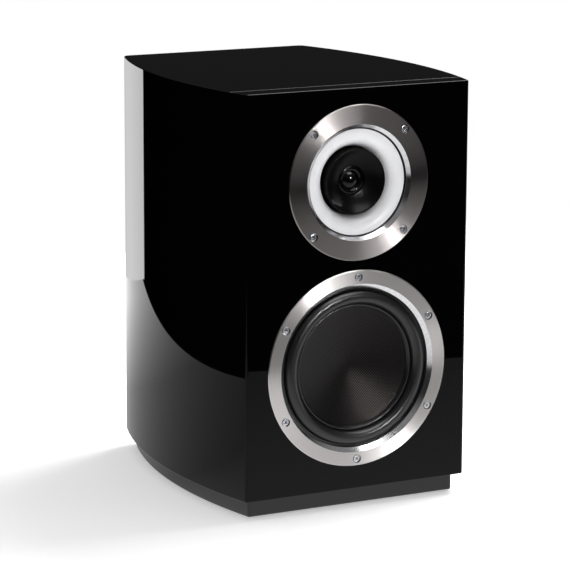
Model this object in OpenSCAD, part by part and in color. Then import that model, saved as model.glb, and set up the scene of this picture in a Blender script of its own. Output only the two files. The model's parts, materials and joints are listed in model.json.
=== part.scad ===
// Bookshelf loudspeaker with bowed lacquered sides, a plinth, a woofer and a coaxial upper unit.
// Front faces -Y, height is Z, origin at the centre of the overall base.

/* [Cabinet] */
// Height of the cabinet above its plinth
cabinet_h = 355; // [260:5:460]
// Width of the front face
front_w = 217; // [180:1:290]
// Depth of the cabinet
cabinet_d = 286; // [200:2:380]
// Radius of the bow of each side
side_r = 497; // [400:1:700]
// How far behind the front the sides are widest
widest_at = 117; // [60:1:160]
// Thickness of the sides, top and bottom
wall_t = 18; // [12:1:25]
// Thickness of the front baffle
baffle_t = 22; // [16:1:30]
// Rounding of the two front corners
front_round = 2.5; // [1:0.5:6]
// Rounding of the two back corners
back_round = 8; // [3:0.5:14]

/* [Base] */
// Height of the plinth
plinth_h = 14.5; // [10:0.5:30]
// How far the plinth is set in all round
plinth_inset = 8.5; // [4:0.5:20]
// Shadow gap between the plinth and the cabinet
shadow_gap = 1.5; // [0.5:0.5:5]
// How far the rubber feet stand below the plinth
foot_out = 1.5; // [1:0.5:5]
// Spacing of the stand inserts across the base
insert_x = 110; // [80:5:140]
// Spacing of the stand inserts from front to back
insert_y = 160; // [100:5:200]

/* [Woofer] */
// Outer radius of the woofer's trim ring
woofer_r = 87.5; // [72:0.5:92]
// Height of the woofer's axis above the cabinet's bottom face
woofer_up = 108.2; // [100:0.2:115]
// Number of screws round the woofer
woofer_screw_n = 6; // [4:1:8]
// Travel of the cone each way from rest
woofer_travel = 6; // [2:0.5:7]
// Depth of the woofer's dish at its centre
dish_depth = 15; // [8:0.5:18]

/* [Upper unit] */
// Outer radius of the upper unit's trim ring
upper_r = 68.3; // [56:0.1:72]
// Drop from the cabinet's top face to the upper unit's axis
upper_drop = 82.6; // [80:0.2:90]
// Number of screws round the upper unit
upper_screw_n = 4; // [3:1:8]
// Radius of the opening in front of the dome
dome_r = 13; // [10:0.5:14]

/* [Rear] */
// Inner radius of the port
port_r = 25; // [18:1:32]
// Length of the port from the rear face
port_l = 110; // [60:5:130]
// Spacing of the two binding posts
post_gap = 38; // [24:1:60]
// Travel of a cap as it is unscrewed
cap_travel = 4; // [2:0.5:6]

/* [Hidden] */
$fn = 96;
ring_proud = 0.8;
ring_t = 6;
chamfer_d = 3;
flange_t = 3;
gasket_t = 1.5;
pad_t = 12;
base_h = foot_out + plinth_h + shadow_gap;
back_z = ring_t - ring_proud;
recess = back_z + flange_t + gasket_t;
post_out = 21;
front_y = (ring_proud - cabinet_d - post_out) / 2;
rear_y = front_y + cabinet_d;
top_z = base_h + cabinet_h;
woofer_z = base_h + woofer_up;
upper_z = top_z - upper_drop;
arc_x = sqrt(side_r * side_r - widest_at * widest_at) - front_w / 2;
back_w = 2 * (sqrt(side_r * side_r - pow(cabinet_d - widest_at, 2)) - arc_x);
// woofer proportions, from the ring's radius
w_bore = woofer_r * 0.815;
w_land = woofer_r * 0.86;
w_pcd = woofer_r * 0.93;
w_roll = woofer_r * 0.072;
w_roll_r = woofer_r * 0.718;
w_cone = w_roll_r - w_roll;
w_foot = w_roll_r + w_roll;
w_wall = 48;
w_plate_d = 49;
w_dish_r = (w_cone * w_cone + dish_depth * dish_depth) / (2 * dish_depth);
w_dish_d = back_z + 1 + dish_depth;
w_hole = woofer_r * 0.87;
// upper unit proportions, from the ring's radius
u_bore = upper_r * 0.70;
u_land = upper_r * 0.745;
u_pcd = upper_r * 0.916;
u_mem = upper_r * 0.68;
u_lip = upper_r * 0.42;
u_neck = u_lip + 1.6;
u_curl = 15;
u_crest = 3.8;
u_wall = upper_r * 0.78;
u_hole = u_wall + 1.2;
u_coil = u_neck + 0.5;
u_pole = u_coil - 0.5;
u_plate_d = 29;
g_ball = (pow(u_lip - 0.8, 2) + 5.5 * 5.5 - dome_r * dome_r - 14 * 14) / (2 * (14 - 5.5));
g_ball_r = sqrt(dome_r * dome_r + pow(14 + g_ball, 2));
g_coil = dome_r + 0.2;
g_cup = u_pole - 5.2;
brace_z = (woofer_z + w_hole + upper_z - u_hole - 9) / 2 - 6;
chamber_r = min(u_hole + 8, upper_drop - wall_t - 0.5);
board_z = base_h + wall_t + 8;
board_y = rear_y - wall_t - 62;
post_z = base_h + cabinet_h * 0.27;
port_z = upper_z - 4;

function unit(v) = v / norm(v);
function side_x(y, inset) = sqrt(pow(side_r - inset, 2) - pow(y - widest_at, 2)) - arc_x;

// Depth into the cabinet becomes local Z, measured from the front face.
module into(z) {
    translate([0, front_y, z]) rotate([-90, 0, 0]) children();
}

// Distance out of the rear face becomes local Z.
module behind(x, z) {
    translate([x, rear_y, z]) rotate([-90, 0, 0]) children();
}

module spin(n, r, start = 0) {
    for (i = [0 : n - 1])
        rotate([0, 0, start + i * 360 / n]) translate([r, 0, 0]) children();
}

module tube(r0, r1, z0, z1) {
    translate([0, 0, z0])
        difference() {
            cylinder(r = r1, h = z1 - z0);
            translate([0, 0, -1]) cylinder(r = r0, h = z1 - z0 + 2);
        }
}

module disc(r, z0, z1) {
    translate([0, 0, z0]) cylinder(r = r, h = z1 - z0);
}

module wire(p, r = 1.2) {
    for (i = [0 : len(p) - 2]) {
        v = p[i + 1] - p[i];
        translate(p[i])
            rotate([0, acos(v[2] / norm(v)), atan2(v[1], v[0])])
                cylinder(r = r, h = norm(v), $fn = 10);
    }
    for (i = [1 : len(p) - 2])
        translate(p[i]) sphere(r = r, $fn = 10);
}

// Plan of the cabinet: two arcs between straight front and back edges.
module bow(inset) {
    intersection() {
        translate([-arc_x, widest_at]) circle(r = side_r - inset);
        translate([arc_x, widest_at]) circle(r = side_r - inset);
    }
}

module corner(r, inset, at_back) {
    y0 = at_back ? cabinet_d - inset : inset;
    out = at_back ? 3 : -3;
    cy = at_back ? y0 - r : y0 + r;
    cx = side_x(cy, inset + r);
    u = unit([cx + arc_x, cy - widest_at]);
    difference() {
        polygon([[cx, cy], [cx, y0 + out], [cx + r * 3, y0 + out],
            [cx, cy] + u * (r + 3), [cx, cy]]);
        translate([cx, cy]) circle(r = r);
    }
}

module plan(inset = 0) {
    difference() {
        intersection() {
            bow(inset);
            translate([-side_r, inset]) square([2 * side_r, cabinet_d - 2 * inset]);
        }
        for (s = [0, 1])
            mirror([s, 0]) {
                corner(front_round, inset, false);
                corner(back_round, inset, true);
            }
    }
}

module slab(z0, z1, y0 = -1, y1 = 1000, inset = 0) {
    translate([0, front_y, z0])
        linear_extrude(height = z1 - z0)
            intersection() {
                plan(inset);
                translate([-side_r, y0]) square([2 * side_r, min(y1, cabinet_d + 1) - y0]);
            }
}

module top_panel() {
    color([0.02, 0.02, 0.02]) slab(top_z - wall_t, top_z, baffle_t);
}

module bottom_panel() {
    color([0.02, 0.02, 0.02])
        difference() {
            slab(base_h, base_h + wall_t, baffle_t);
            plinth_screw_places() disc(2.05, base_h - 1, base_h + 16);
            board_corners() disc(1.55, base_h + 8, base_h + wall_t + 1);
        }
}

module front_baffle() {
    color([0.02, 0.02, 0.02])
        difference() {
            slab(base_h, top_z, -1, baffle_t);
            into(woofer_z) {
                disc(woofer_r + 0.3, -1, recess);
                disc(w_hole, -1, baffle_t + 1);
                spin(woofer_screw_n, w_pcd, 90) disc(2.05, recess - 1, recess + 10);
            }
            into(upper_z) {
                disc(upper_r + 0.3, -1, recess);
                disc(u_hole, -1, baffle_t + 1);
                spin(upper_screw_n, u_pcd, 45) disc(1.8, recess - 1, recess + 10);
            }
        }
}

module side_panel() {
    difference() {
        slab(base_h + wall_t, top_z - wall_t, baffle_t, cabinet_d - wall_t);
        translate([0, front_y, base_h])
            linear_extrude(height = cabinet_h) bow(wall_t);
        translate([-2 * side_r, front_y - 1, base_h]) cube([2 * side_r, cabinet_d + 2, cabinet_h]);
    }
}

module right_side_panel() {
    color([0.02, 0.02, 0.02]) side_panel();
}

module left_side_panel() {
    color([0.02, 0.02, 0.02]) mirror([1, 0, 0]) side_panel();
}

module rear_panel() {
    color([0.02, 0.02, 0.02])
        difference() {
            slab(base_h + wall_t, top_z - wall_t, cabinet_d - wall_t, cabinet_d + 1);
            behind(0, port_z) {
                disc(port_r + 2.6, -wall_t - 1, 1);
                disc(port_r + 10.1, -10.1, 1);
                disc(port_r + 13.1, -2.9, 1);
            }
            behind(0, post_z) {
                translate([-post_gap / 2 - 14, -18, -wall_t - 1]) cube([post_gap + 28, 36, wall_t + 2]);
                terminal_screw_places() disc(1.3, -12, 1);
            }
        }
}

module window_brace() {
    color([0.62, 0.48, 0.32])
        translate([0, front_y, brace_z])
            linear_extrude(height = 12)
                difference() {
                    intersection() {
                        bow(wall_t);
                        translate([-side_r, baffle_t])
                            square([2 * side_r, cabinet_d - baffle_t - wall_t]);
                    }
                    translate([-62, baffle_t + 34]) square([124, cabinet_d - baffle_t - wall_t - 70]);
                }
}

module damping_pads() {
    color([0.25, 0.25, 0.27])
        for (s = [0, 1])
            mirror([s, 0, 0])
                translate([0, front_y, base_h + wall_t + 8])
                    linear_extrude(height = brace_z - base_h - wall_t - 14)
                        intersection() {
                            difference() {
                                bow(wall_t);
                                bow(wall_t + pad_t);
                            }
                            translate([0, baffle_t + 20]) square([side_r, cabinet_d - baffle_t - wall_t - 40]);
                        }
}

module plinth_screw_places() {
    for (x = [-1, 1], y = [0.2, 0.8])
        translate([x * 78, front_y + cabinet_d * y, 0]) children();
}

module foot_places() {
    for (x = [-1, 1])
        translate([x * 84, front_y + cabinet_d * 0.09, 0]) children();
    for (x = [-1, 1])
        translate([x * 68, front_y + cabinet_d * 0.91, 0]) children();
}

module insert_places() {
    for (x = [-1, 1], y = [-1, 1])
        translate([x * insert_x / 2, front_y + cabinet_d / 2 + y * insert_y / 2, 0]) children();
}

module plinth() {
    color([0.03, 0.03, 0.03])
        difference() {
            union() {
                slab(foot_out, foot_out + plinth_h, -1, 1000, plinth_inset);
                slab(foot_out, base_h, -1, 1000, plinth_inset + 4);
            }
            foot_places() disc(9.05, foot_out - 1, foot_out + 2.5);
            insert_places() disc(4.55, foot_out - 1, foot_out + 12);
            plinth_screw_places() {
                disc(2.6, foot_out - 1, base_h + 1);
                disc(5.2, foot_out - 1, foot_out + 5);
            }
        }
}

module plinth_screws() {
    color([0.3, 0.3, 0.3])
        plinth_screw_places()
            difference() {
                union() {
                    disc(4.6, foot_out + 2, foot_out + 5);
                    disc(2, foot_out + 5, base_h + 14);
                }
                translate([0, 0, foot_out + 1]) cylinder(r = 1.7, h = 2.8, $fn = 6);
            }
}

module rubber_feet() {
    color([0.08, 0.08, 0.08])
        foot_places() disc(9, 0, foot_out + 2.45);
}

module stand_inserts() {
    color([0.75, 0.6, 0.3])
        insert_places() tube(3, 4.5, foot_out + 0.2, foot_out + 12);
}

// A flat ring with a sloped inner edge and counterbored screw holes.
module trim_ring(r, land, bore, pcd, n, start, head) {
    difference() {
        rotate_extrude()
            polygon([[land, -ring_proud], [r - 0.8, -ring_proud], [r, 0], [r, back_z],
                [bore, back_z], [bore, chamfer_d - ring_proud]]);
        spin(n, pcd, start) {
            disc(head + 0.65, -2, back_z - 1.6);
            disc(2.4, 0, back_z + 1);
        }
    }
}

module hex_screws(pcd, n, start, head, shank, length) {
    spin(n, pcd, start)
        difference() {
            union() {
                disc(head, -0.4, back_z - 1.6);
                disc(shank, back_z - 1.6, length);
            }
            translate([0, 0, -1]) cylinder(r = head * 0.5, h = 3, $fn = 6);
        }
}

module woofer_trim_ring() {
    color([0.7, 0.7, 0.72])
        into(woofer_z) trim_ring(woofer_r, w_land, w_bore, w_pcd, woofer_screw_n, 90, 3);
}

module woofer_screws() {
    color([0.8, 0.8, 0.82])
        into(woofer_z) hex_screws(w_pcd, woofer_screw_n, 90, 3, 2, recess + 9);
}

module woofer_basket() {
    color([0.1, 0.1, 0.1])
        into(woofer_z)
            difference() {
                union() {
                    rotate_extrude()
                        polygon([[w_bore + 2, back_z], [woofer_r - 0.3, back_z],
                            [woofer_r - 0.3, back_z + flange_t], [w_foot + 0.3, back_z + flange_t],
                            [w_foot + 0.3, back_z + 1], [w_bore + 2, back_z + 1]]);
                    tube(w_wall - 3, w_wall, 34, w_plate_d);
                    tube(26, w_wall, w_plate_d - 3, w_plate_d);
                    for (i = [0 : 5])
                        rotate([90, 0, i * 60])
                            translate([0, 0, -4.5])
                                linear_extrude(height = 9)
                                    polygon([[w_foot + 4, back_z + 2], [w_foot + 0.5, back_z + 2],
                                        [w_wall - 1, 34], [w_wall - 1, w_plate_d], [w_wall + 3, w_plate_d],
                                        [w_wall + 6, 36]]);
                }
                spin(woofer_screw_n, w_pcd, 90) disc(2.4, 0, recess + 2);
            }
}

module woofer_gasket() {
    color([0.12, 0.12, 0.12])
        into(woofer_z)
            difference() {
                tube(w_hole + 0.3, woofer_r - 0.3, recess - gasket_t, recess);
                spin(woofer_screw_n, w_pcd, 90) disc(2.4, 0, recess + 2);
            }
}

// A half-round roll with a flat foot on each side.
module roll(centre, r, t, d, foot_out_r, foot_in_r) {
    rotate_extrude() {
        difference() {
            translate([centre, d]) circle(r = r);
            translate([centre, d]) circle(r = r - t);
            translate([centre - r - 1, d]) square([2 * r + 2, r + 1]);
        }
        translate([centre + r - t, d - 0.01]) square([foot_out_r - centre - r + t, t]);
        translate([foot_in_r, d - 0.01]) square([centre - r + t - foot_in_r, t]);
    }
}

module woofer_surround() {
    color([0.05, 0.05, 0.05])
        into(woofer_z) roll(w_roll_r, w_roll, 0.8, back_z + 0.2, w_bore + 1.6, w_cone - 3);
}

module woofer_cone() {
    color([0.09, 0.09, 0.1])
        into(woofer_z)
            intersection() {
                translate([0, 0, w_dish_d - w_dish_r])
                    difference() {
                        sphere(r = w_dish_r + 0.8, $fn = 180);
                        sphere(r = w_dish_r, $fn = 180);
                    }
                disc(w_cone - 0.5, back_z + 1, w_dish_d + 2);
            }
}

module woofer_former() {
    color([0.7, 0.55, 0.3])
        into(woofer_z)
            difference() {
                tube(18.9, 19.2, w_dish_d - 6, w_plate_d + 11);
                translate([0, 0, w_dish_d - w_dish_r]) sphere(r = w_dish_r + 0.85, $fn = 180);
            }
}

module woofer_coil() {
    color([0.72, 0.4, 0.2])
        into(woofer_z) tube(19.25, 20.1, w_plate_d - 4, w_plate_d + 10);
}

module woofer_spider() {
    color([0.65, 0.5, 0.25])
        into(woofer_z) {
            tube(w_wall - 4, w_wall - 1.6, 33.1, 33.9);
            rotate_extrude()
                for (i = [0 : 3])
                    translate([19.25 + i * (w_wall - 23.25) / 4, 0])
                        polygon([[0, 33.1], [3, 31.3], [(w_wall - 23.25) / 4, 33.1],
                            [(w_wall - 23.25) / 4, 33.9], [3, 32.1], [0, 33.9]]);
        }
}

module woofer_top_plate() {
    color([0.55, 0.55, 0.57])
        into(woofer_z) tube(20.7, 46, w_plate_d, w_plate_d + 6);
}

module woofer_magnet() {
    color([0.18, 0.18, 0.19])
        into(woofer_z) tube(27, 45, w_plate_d + 6, w_plate_d + 26);
}

module woofer_back_plate() {
    color([0.55, 0.55, 0.57])
        into(woofer_z)
            difference() {
                union() {
                    disc(46, w_plate_d + 26, w_plate_d + 32);
                    disc(18.4, w_plate_d - 1, w_plate_d + 26);
                }
                disc(5, w_plate_d - 2, w_plate_d + 33);
            }
}

module woofer_terminals() {
    color([0.8, 0.7, 0.4])
        into(woofer_z)
            translate([0, w_wall + 0.1, 38]) {
                translate([-9, 0, 0]) cube([18, 9, 1.6]);
                for (x = [-6.5, 3.5])
                    translate([x, 4, 1.6]) cube([3, 0.8, 7]);
            }
}

module upper_trim_ring() {
    color([0.7, 0.7, 0.72])
        into(upper_z) trim_ring(upper_r, u_land, u_bore, u_pcd, upper_screw_n, 45, 3);
}

module upper_screws() {
    color([0.8, 0.8, 0.82])
        into(upper_z) hex_screws(u_pcd, upper_screw_n, 45, 3, 1.75, recess + 9);
}

module upper_frame() {
    color([0.1, 0.1, 0.1])
        into(upper_z)
            difference() {
                union() {
                    rotate_extrude()
                        polygon([[u_bore + 2.4, back_z], [upper_r - 0.3, back_z],
                            [upper_r - 0.3, back_z + flange_t], [u_wall, back_z + flange_t],
                            [u_wall, u_plate_d], [u_neck + 7, u_plate_d], [u_neck + 7, u_plate_d - 7],
                            [u_neck + 9.5, u_plate_d - 7], [u_neck + 9.5, u_plate_d - 3],
                            [u_wall - 3, u_plate_d - 3], [u_wall - 3, back_z + 2.6],
                            [u_bore + 0.6, back_z + 2.6], [u_bore + 0.6, back_z + 1.4],
                            [u_bore + 2.4, back_z + 1.4]]);
                }
                spin(upper_screw_n, u_pcd, 45) disc(2.4, 0, recess + 2);
            }
}

module upper_gasket() {
    color([0.12, 0.12, 0.12])
        into(upper_z)
            difference() {
                tube(u_hole + 0.3, upper_r - 0.3, recess - gasket_t, recess);
                spin(upper_screw_n, u_pcd, 45) disc(2.4, 0, recess + 2);
            }
}

module mid_surround() {
    color([0.05, 0.05, 0.05])
        into(upper_z) tube(u_mem + 0.1, u_bore + 2.2, back_z + 0.6, back_z + 1.3);
}

module mid_diaphragm() {
    color([0.86, 0.86, 0.85])
        into(upper_z)
            rotate_extrude()
                intersection() {
                    translate([u_neck - 0.2 + u_curl, u_crest + u_curl])
                        difference() {
                            circle(r = u_curl);
                            circle(r = u_curl - 1.2);
                        }
                    translate([u_neck, 0]) square([u_mem - u_neck, u_crest + u_curl - 2.6]);
                }
}

module mid_coil() {
    color([0.72, 0.4, 0.2])
        into(upper_z) {
            tube(u_coil + 0.55, u_coil + 0.9, u_crest + u_curl - 2.5, u_plate_d + 6);
            tube(u_coil + 0.9, u_coil + 1.6, u_plate_d - 1, u_plate_d + 5);
        }
}

module mid_spider() {
    color([0.65, 0.5, 0.25])
        into(upper_z) tube(u_coil + 0.95, u_neck + 9.5, u_plate_d - 7.6, u_plate_d - 7.1);
}

module mid_top_plate() {
    color([0.55, 0.55, 0.57])
        into(upper_z) tube(u_coil + 2.1, u_wall - 4, u_plate_d, u_plate_d + 4);
}

module mid_magnet() {
    color([0.18, 0.18, 0.19])
        into(upper_z) tube(u_coil + 4, u_wall - 5, u_plate_d + 4, u_plate_d + 10);
}

module mid_back_plate() {
    color([0.55, 0.55, 0.57])
        into(upper_z)
            difference() {
                union() {
                    disc(u_wall - 4, u_plate_d + 10, u_plate_d + 14);
                    tube(g_cup + 0.1, u_pole + 0.5, u_plate_d - 0.5, u_plate_d + 11);
                }
                disc(5, u_plate_d, u_plate_d + 20);
            }
}

module tweeter_waveguide() {
    color([0.04, 0.04, 0.04])
        into(upper_z)
            difference() {
                disc(u_lip, 5.5, u_plate_d - 0.5);
                translate([0, 0, -g_ball]) sphere(r = g_ball_r, $fn = 180);
                disc(dome_r, 5, 20);
                disc(dome_r + 4, 14.8, u_plate_d);
                disc(g_cup + 0.1, 18, u_plate_d);
            }
}

module tweeter_dome() {
    color([0.03, 0.03, 0.03])
        into(upper_z)
            intersection() {
                translate([0, 0, 16 - 4 + dome_r * dome_r / 8 + 2])
                    difference() {
                        sphere(r = dome_r * dome_r / 8 + 2, $fn = 120);
                        sphere(r = dome_r * dome_r / 8 + 1.6, $fn = 120);
                    }
                disc(dome_r - 0.1, 10, 15.8);
            }
}

module tweeter_surround() {
    color([0.05, 0.05, 0.05])
        into(upper_z) {
            tube(g_coil + 0.05, dome_r + 3.9, 16.4, 16.7);
            tube(dome_r + 2.2, dome_r + 3.9, 16.7, 18);
        }
}

module tweeter_coil() {
    color([0.72, 0.4, 0.2])
        into(upper_z) {
            tube(g_coil - 0.3, g_coil, 15.9, 21.6);
            tube(g_coil, g_coil + 0.5, 18.6, 21.4);
        }
}

module tweeter_top_plate() {
    color([0.55, 0.55, 0.57])
        into(upper_z) tube(g_coil + 0.9, g_cup, 18, 21);
}

module tweeter_pole_plate() {
    color([0.55, 0.55, 0.57])
        into(upper_z) disc(g_coil - 0.6, 18, 21);
}

module tweeter_magnet() {
    color([0.6, 0.6, 0.62])
        into(upper_z) disc(g_coil - 1.2, 21, 32);
}

module tweeter_cup() {
    color([0.55, 0.55, 0.57])
        into(upper_z) {
            tube(g_cup - 4, g_cup, 21, 32.5);
            difference() {
                disc(g_cup, 32, u_plate_d + 10);
                translate([5, 0, 0]) disc(1.5, 30, u_plate_d + 11);
                translate([-5, 0, 0]) disc(1.5, 30, u_plate_d + 11);
            }
        }
}

module rear_chamber() {
    color([0.12, 0.12, 0.13])
        into(upper_z)
            difference() {
                disc(chamber_r, baffle_t, 95);
                disc(chamber_r - 3, baffle_t - 1, 92);
                for (x = [-14, -5, 5, 14])
                    translate([x, 0, 0]) disc(1.25, 90, 96);
            }
}

module board_corners() {
    for (x = [-1, 1], y = [-1, 1])
        translate([x * 54, board_y + y * 44, 0]) children();
}

module crossover_board() {
    color([0.1, 0.3, 0.15])
        difference() {
            translate([-60, board_y - 50, board_z]) cube([120, 100, 1.6]);
            board_corners() disc(1.7, board_z - 1, board_z + 3);
        }
}

module board_standoffs() {
    color([0.75, 0.6, 0.3])
        board_corners() {
            disc(1.5, base_h + 9, board_z);
            disc(3, base_h + wall_t, board_z);
            disc(1.65, board_z, board_z + 1.6);
            disc(2.8, board_z + 1.6, board_z + 3.4);
        }
}

module crossover_coils() {
    color([0.72, 0.4, 0.2])
        for (p = [[-36, -22, 15], [-36, 22, 12], [0, 26, 11]])
            translate([p[0], board_y + p[1], board_z + 1.6]) {
                tube(p[2] * 0.5, p[2] * 1.15, 0, 1.5);
                tube(p[2] * 0.5, p[2], 1.5, 14.5);
                tube(p[2] * 0.5, p[2] * 1.15, 14.5, 16);
            }
}

module crossover_capacitors() {
    color([0.75, 0.35, 0.1])
        for (p = [[4, -30, 10], [4, -8, 8], [36, -28, 7], [36, -10, 7]])
            translate([p[0] - 12, board_y + p[1], board_z + 1.6 + p[2]])
                rotate([0, 90, 0]) cylinder(r = p[2], h = 24);
}

module crossover_resistors() {
    color([0.9, 0.9, 0.86])
        for (y = [8, 20, 32])
            translate([26, board_y + y, board_z + 1.6]) cube([22, 9.5, 9]);
}

module inner_wires() {
    b = board_z + 1.6;
    color([0.5, 0.1, 0.1])
        for (s = [-1, 1]) {
            x = s * post_gap / 2;
            wire([[x, rear_y - 14, post_z], [x, rear_y - 26, post_z],
                [s * 56, rear_y - 26, b + 34], [s * 56, board_y + 34, b + 30],
                [s * 56, board_y + 34, b]]);
            wire([[s * 5, front_y + 47, woofer_z - w_wall - 6.4], [s * 5, front_y + 56, woofer_z - w_wall - 8],
                [s * 5, board_y - 58, b + 12], [s * 5, board_y - 47, b + 12], [s * 5, board_y - 47, b]]);
            wire([[s * 14, front_y + u_plate_d + 14.1, upper_z], [s * 14, front_y + 103, upper_z],
                [s * 14, front_y + 112, brace_z + 20], [s * 14, front_y + 112, b + 40],
                [s * 14, board_y - 46, b + 20], [s * 14, board_y - 46, b]]);
            wire([[s * 5, front_y + u_plate_d + 14.1, upper_z + 0], [s * 5, front_y + 99, upper_z],
                [s * 5, front_y + 104, upper_z - 8], [s * 24, front_y + 116, brace_z + 20],
                [s * 24, front_y + 118, b + 40], [s * 24, board_y - 47, b + 20], [s * 24, board_y - 47, b]]);
        }
}

module port_tube() {
    color([0.05, 0.05, 0.05])
        behind(0, port_z)
            rotate_extrude() {
                translate([port_r, -port_l]) square([2.5, port_l - 10]);
                intersection() {
                    translate([port_r + 10, -10]) circle(r = 10);
                    translate([port_r, -10]) square([10, 11]);
                }
                translate([port_r + 10, -2.8]) square([3, 2.8]);
            }
}

module terminal_plate() {
    w = post_gap + 44;
    for (x = [-w / 2 + 6, w / 2 - 6], y = [-24, 24])
        translate([x, y, 0]) children();
}

module terminal_screw_places() {
    terminal_plate() children();
}

module terminal_panel() {
    w = post_gap + 44;
    color([0.07, 0.07, 0.07])
        behind(0, post_z)
            difference() {
                union() {
                    translate([-w / 2 + 6, -30, 0]) cube([w - 12, 60, 3]);
                    translate([-w / 2, -24, 0]) cube([w, 48, 3]);
                    terminal_plate() disc(6, 0, 3);
                }
                terminal_screw_places() disc(1.7, -1, 4);
                for (x = [-1, 1])
                    translate([x * post_gap / 2, 0, 0]) disc(3.5, -1, 4);
            }
}

module terminal_screws() {
    color([0.15, 0.15, 0.15])
        behind(0, post_z)
            terminal_screw_places()
                difference() {
                    union() {
                        disc(2.8, 3, 5);
                        disc(1.25, -11, 3);
                    }
                    translate([0, 0, 4]) cylinder(r = 1.2, h = 2, $fn = 6);
                }
}

module both_posts() {
    behind(-post_gap / 2, post_z) children();
    behind(post_gap / 2, post_z) children();
}

module post_studs() {
    color([0.85, 0.7, 0.35])
        both_posts()
            difference() {
                union() {
                    disc(3.45, -14, 20);
                    disc(7, 3, 5);
                }
                disc(2.05, 2, 21);
            }
}

module post_nuts() {
    color([0.85, 0.7, 0.35])
        both_posts()
            difference() {
                translate([0, 0, -4]) cylinder(r = 6.4, h = 4, $fn = 6);
                disc(3.5, -5, 1);
            }
}

module washer() {
    tube(3.55, 7.2, 5.3, 6.8);
}

// A grip with finger flutes round it and a hole through it for the stud.
module cap() {
    difference() {
        union() {
            disc(8, 8, 20);
            disc(7.2, 7.1, post_out);
        }
        spin(12, 8.6) disc(1.3, 7, 22);
        disc(3.5, 7, 22);
    }
}

module red_washer() {
    color([0.85, 0.7, 0.35]) behind(-post_gap / 2, post_z) washer();
}

module red_cap() {
    color([0.6, 0.04, 0.04]) behind(-post_gap / 2, post_z) cap();
}

module black_washer() {
    color([0.85, 0.7, 0.35]) behind(post_gap / 2, post_z) washer();
}

module black_cap() {
    color([0.05, 0.05, 0.05]) behind(post_gap / 2, post_z) cap();
}

front_baffle();
top_panel();
bottom_panel();
left_side_panel();
right_side_panel();
rear_panel();
window_brace();
damping_pads();
plinth();
plinth_screws();
rubber_feet();
stand_inserts();
woofer_trim_ring();
woofer_screws();
woofer_basket();
woofer_gasket();
woofer_surround();
woofer_cone();
woofer_former();
woofer_coil();
woofer_spider();
woofer_top_plate();
woofer_magnet();
woofer_back_plate();
woofer_terminals();
upper_trim_ring();
upper_screws();
upper_frame();
upper_gasket();
mid_surround();
mid_diaphragm();
mid_coil();
mid_spider();
mid_top_plate();
mid_magnet();
mid_back_plate();
tweeter_waveguide();
tweeter_dome();
tweeter_surround();
tweeter_coil();
tweeter_top_plate();
tweeter_pole_plate();
tweeter_magnet();
tweeter_cup();
rear_chamber();
crossover_board();
board_standoffs();
crossover_coils();
crossover_capacitors();
crossover_resistors();
inner_wires();
port_tube();
terminal_panel();
terminal_screws();
post_studs();
post_nuts();
red_washer();
red_cap();
black_washer();
black_cap();
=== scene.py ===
import json
import math
import bpy
from mathutils import Matrix, Vector
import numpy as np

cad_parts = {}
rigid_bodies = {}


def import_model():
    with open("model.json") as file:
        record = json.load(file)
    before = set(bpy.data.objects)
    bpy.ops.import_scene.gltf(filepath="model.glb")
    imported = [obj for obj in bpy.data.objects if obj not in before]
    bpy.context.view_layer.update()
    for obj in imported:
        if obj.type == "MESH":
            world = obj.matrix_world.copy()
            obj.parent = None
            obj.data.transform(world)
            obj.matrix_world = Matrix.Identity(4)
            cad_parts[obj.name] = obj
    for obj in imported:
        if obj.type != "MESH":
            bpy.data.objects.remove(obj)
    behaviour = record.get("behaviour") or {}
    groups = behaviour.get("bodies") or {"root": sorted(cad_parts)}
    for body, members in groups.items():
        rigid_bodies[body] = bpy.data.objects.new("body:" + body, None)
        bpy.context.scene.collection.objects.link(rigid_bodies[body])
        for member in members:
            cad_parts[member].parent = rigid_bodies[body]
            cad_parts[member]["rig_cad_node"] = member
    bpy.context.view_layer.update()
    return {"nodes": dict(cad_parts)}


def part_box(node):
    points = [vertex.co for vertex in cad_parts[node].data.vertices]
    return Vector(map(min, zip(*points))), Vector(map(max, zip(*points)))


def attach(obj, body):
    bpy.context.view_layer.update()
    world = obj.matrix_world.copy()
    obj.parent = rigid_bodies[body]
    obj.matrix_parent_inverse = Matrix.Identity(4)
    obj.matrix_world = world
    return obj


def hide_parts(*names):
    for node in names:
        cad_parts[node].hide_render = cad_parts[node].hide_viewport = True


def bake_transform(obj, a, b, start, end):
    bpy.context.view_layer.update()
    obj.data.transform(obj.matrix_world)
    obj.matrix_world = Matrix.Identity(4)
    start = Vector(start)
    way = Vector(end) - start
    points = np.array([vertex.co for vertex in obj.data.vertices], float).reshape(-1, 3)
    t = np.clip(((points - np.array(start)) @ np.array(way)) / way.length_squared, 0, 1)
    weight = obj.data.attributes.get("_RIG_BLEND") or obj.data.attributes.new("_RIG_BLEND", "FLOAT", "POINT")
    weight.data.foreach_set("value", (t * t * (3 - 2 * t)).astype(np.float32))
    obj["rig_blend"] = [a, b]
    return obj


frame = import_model()
print("frame loaded:", len(frame["nodes"]), "nodes")

mm = 0.001
tau = math.tau

# Places read from the frame, in metres. The front face is at frontY and depth runs to +Y.
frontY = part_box("front_baffle")[0].y
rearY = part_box("rear_panel")[1].y
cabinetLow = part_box("bottom_panel")[0].z
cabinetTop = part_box("top_panel")[1].z
wooferLow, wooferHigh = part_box("woofer_trim_ring")
upperLow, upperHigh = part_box("upper_trim_ring")
wooferZ = (wooferLow.z + wooferHigh.z) / 2
upperZ = (upperLow.z + upperHigh.z) / 2
wooferR = (wooferHigh.x - wooferLow.x) / 2 / mm
upperR = (upperHigh.x - upperLow.x) / 2 / mm


def clearPick():
    if bpy.context.object and bpy.context.object.mode != "OBJECT":
        bpy.ops.object.mode_set(mode="OBJECT")
    bpy.ops.object.select_all(action="DESELECT")


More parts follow.
